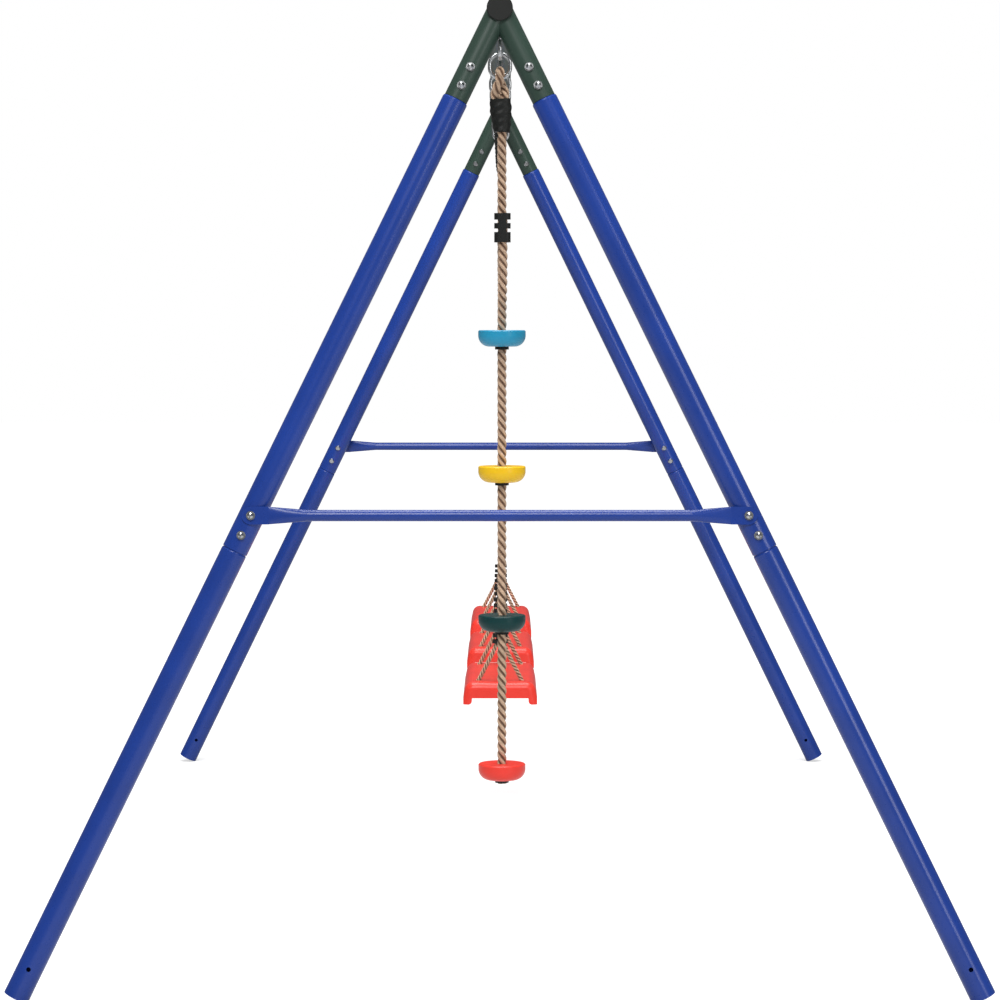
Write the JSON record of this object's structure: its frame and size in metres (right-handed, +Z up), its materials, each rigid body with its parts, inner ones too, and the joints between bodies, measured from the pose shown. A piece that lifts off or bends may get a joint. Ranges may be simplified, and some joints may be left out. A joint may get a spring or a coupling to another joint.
{
  "type": "swing set",
  "caption": "Garden swing set: two tubular A-frames with a top beam, moulded rope swings in a row and a climbing rope threaded with round foot discs.",
  "frame": {"origin": "centre of the footprint at ground level", "axes": "+Z up, +Y along the top beam away from the climbing rope, +X to the right when looking along +Y"},
  "size_m": [1.8892, 3.2266, 1.9289],
  "materials": {
    "blue_steel": "gloss paint",
    "green_steel": "satin paint",
    "black_plastic": "satin",
    "zinc_steel": "bright zinc plate",
    "rope": "twisted three-strand rope",
    "seat_red": "moulded",
    "disc_blue": "moulded",
    "disc_yellow": "moulded",
    "disc_green": "moulded",
    "disc_red": "moulded"
  },
  "bodies": {
    "frame": {"beam_bolt_nuts": "zinc_steel", "beam_bolts": "zinc_steel", "beam_end_caps": "black_plastic", "connector_bolts": "zinc_steel", "crossbar_bolts": "zinc_steel", "eye_bolt_nuts": "zinc_steel", "eye_bolt_washers": "zinc_steel", "eye_bolts": "zinc_steel", "far_beam": "green_steel", "far_connector": "green_steel", "far_crossbar": "blue_steel", "far_left_lower_leg": "blue_steel", "far_left_upper_leg": "blue_steel", "far_right_lower_leg": "blue_steel", "far_right_upper_leg": "blue_steel", "frame_nuts": "zinc_steel", "frame_washers": "zinc_steel", "joint_bolts": "zinc_steel", "middle_beam": "green_steel", "near_beam": "green_steel", "near_connector": "green_steel", "near_crossbar": "blue_steel", "near_left_lower_leg": "blue_steel", "near_left_upper_leg": "blue_steel", "near_right_lower_leg": "blue_steel", "near_right_upper_leg": "blue_steel"},
    "swing_1": {"swing_1_adjusters": "black_plastic", "swing_1_far_bridle": "rope", "swing_1_far_rope": "rope", "swing_1_links": "zinc_steel", "swing_1_near_bridle": "rope", "swing_1_near_rope": "rope", "swing_1_seat": "seat_red", "swing_1_sleeves": "black_plastic"},
    "swing_2": {"swing_2_adjusters": "black_plastic", "swing_2_far_bridle": "rope", "swing_2_far_rope": "rope", "swing_2_links": "zinc_steel", "swing_2_near_bridle": "rope", "swing_2_near_rope": "rope", "swing_2_seat": "seat_red", "swing_2_sleeves": "black_plastic"},
    "swing_3": {"swing_3_adjusters": "black_plastic", "swing_3_far_bridle": "rope", "swing_3_far_rope": "rope", "swing_3_links": "zinc_steel", "swing_3_near_bridle": "rope", "swing_3_near_rope": "rope", "swing_3_seat": "seat_red", "swing_3_sleeves": "black_plastic"},
    "climb_link": {"climb_link": "zinc_steel"},
    "climbing_rope": {"climb_adjuster": "black_plastic", "climb_rope": "rope", "climb_sleeve": "black_plastic", "climb_top_rope": "rope", "blue_disc": "disc_blue", "disc_stoppers": "black_plastic", "green_disc": "disc_green", "red_disc": "disc_red", "yellow_disc": "disc_yellow"}
  },
  "joints": [
    {"name": "swing_1_swing", "type": "hinge", "parent": "frame", "child": "swing_1", "pos_m": [0, -0.505, 1.82488], "axis": [0, 1, 0], "range_deg": [-60, 60]},
    {"name": "swing_2_swing", "type": "hinge", "parent": "frame", "child": "swing_2", "pos_m": [0, 0.19, 1.82488], "axis": [0, 1, 0], "range_deg": [-60, 60]},
    {"name": "swing_3_swing", "type": "hinge", "parent": "frame", "child": "swing_3", "pos_m": [0, 0.885, 1.82488], "axis": [0, 1, 0], "range_deg": [-60, 60]},
    {"name": "climbing_rope_swing", "type": "hinge", "parent": "frame", "child": "climb_link", "pos_m": [0, -1.16, 1.82488], "axis": [0, 1, 0], "range_deg": [-60, 60]},
    {"name": "climbing_rope_sway", "type": "hinge", "parent": "climb_link", "child": "climbing_rope", "pos_m": [0, -1.16, 1.78568], "axis": [1, 0, 0], "range_deg": [-12, 12]}
  ]
}
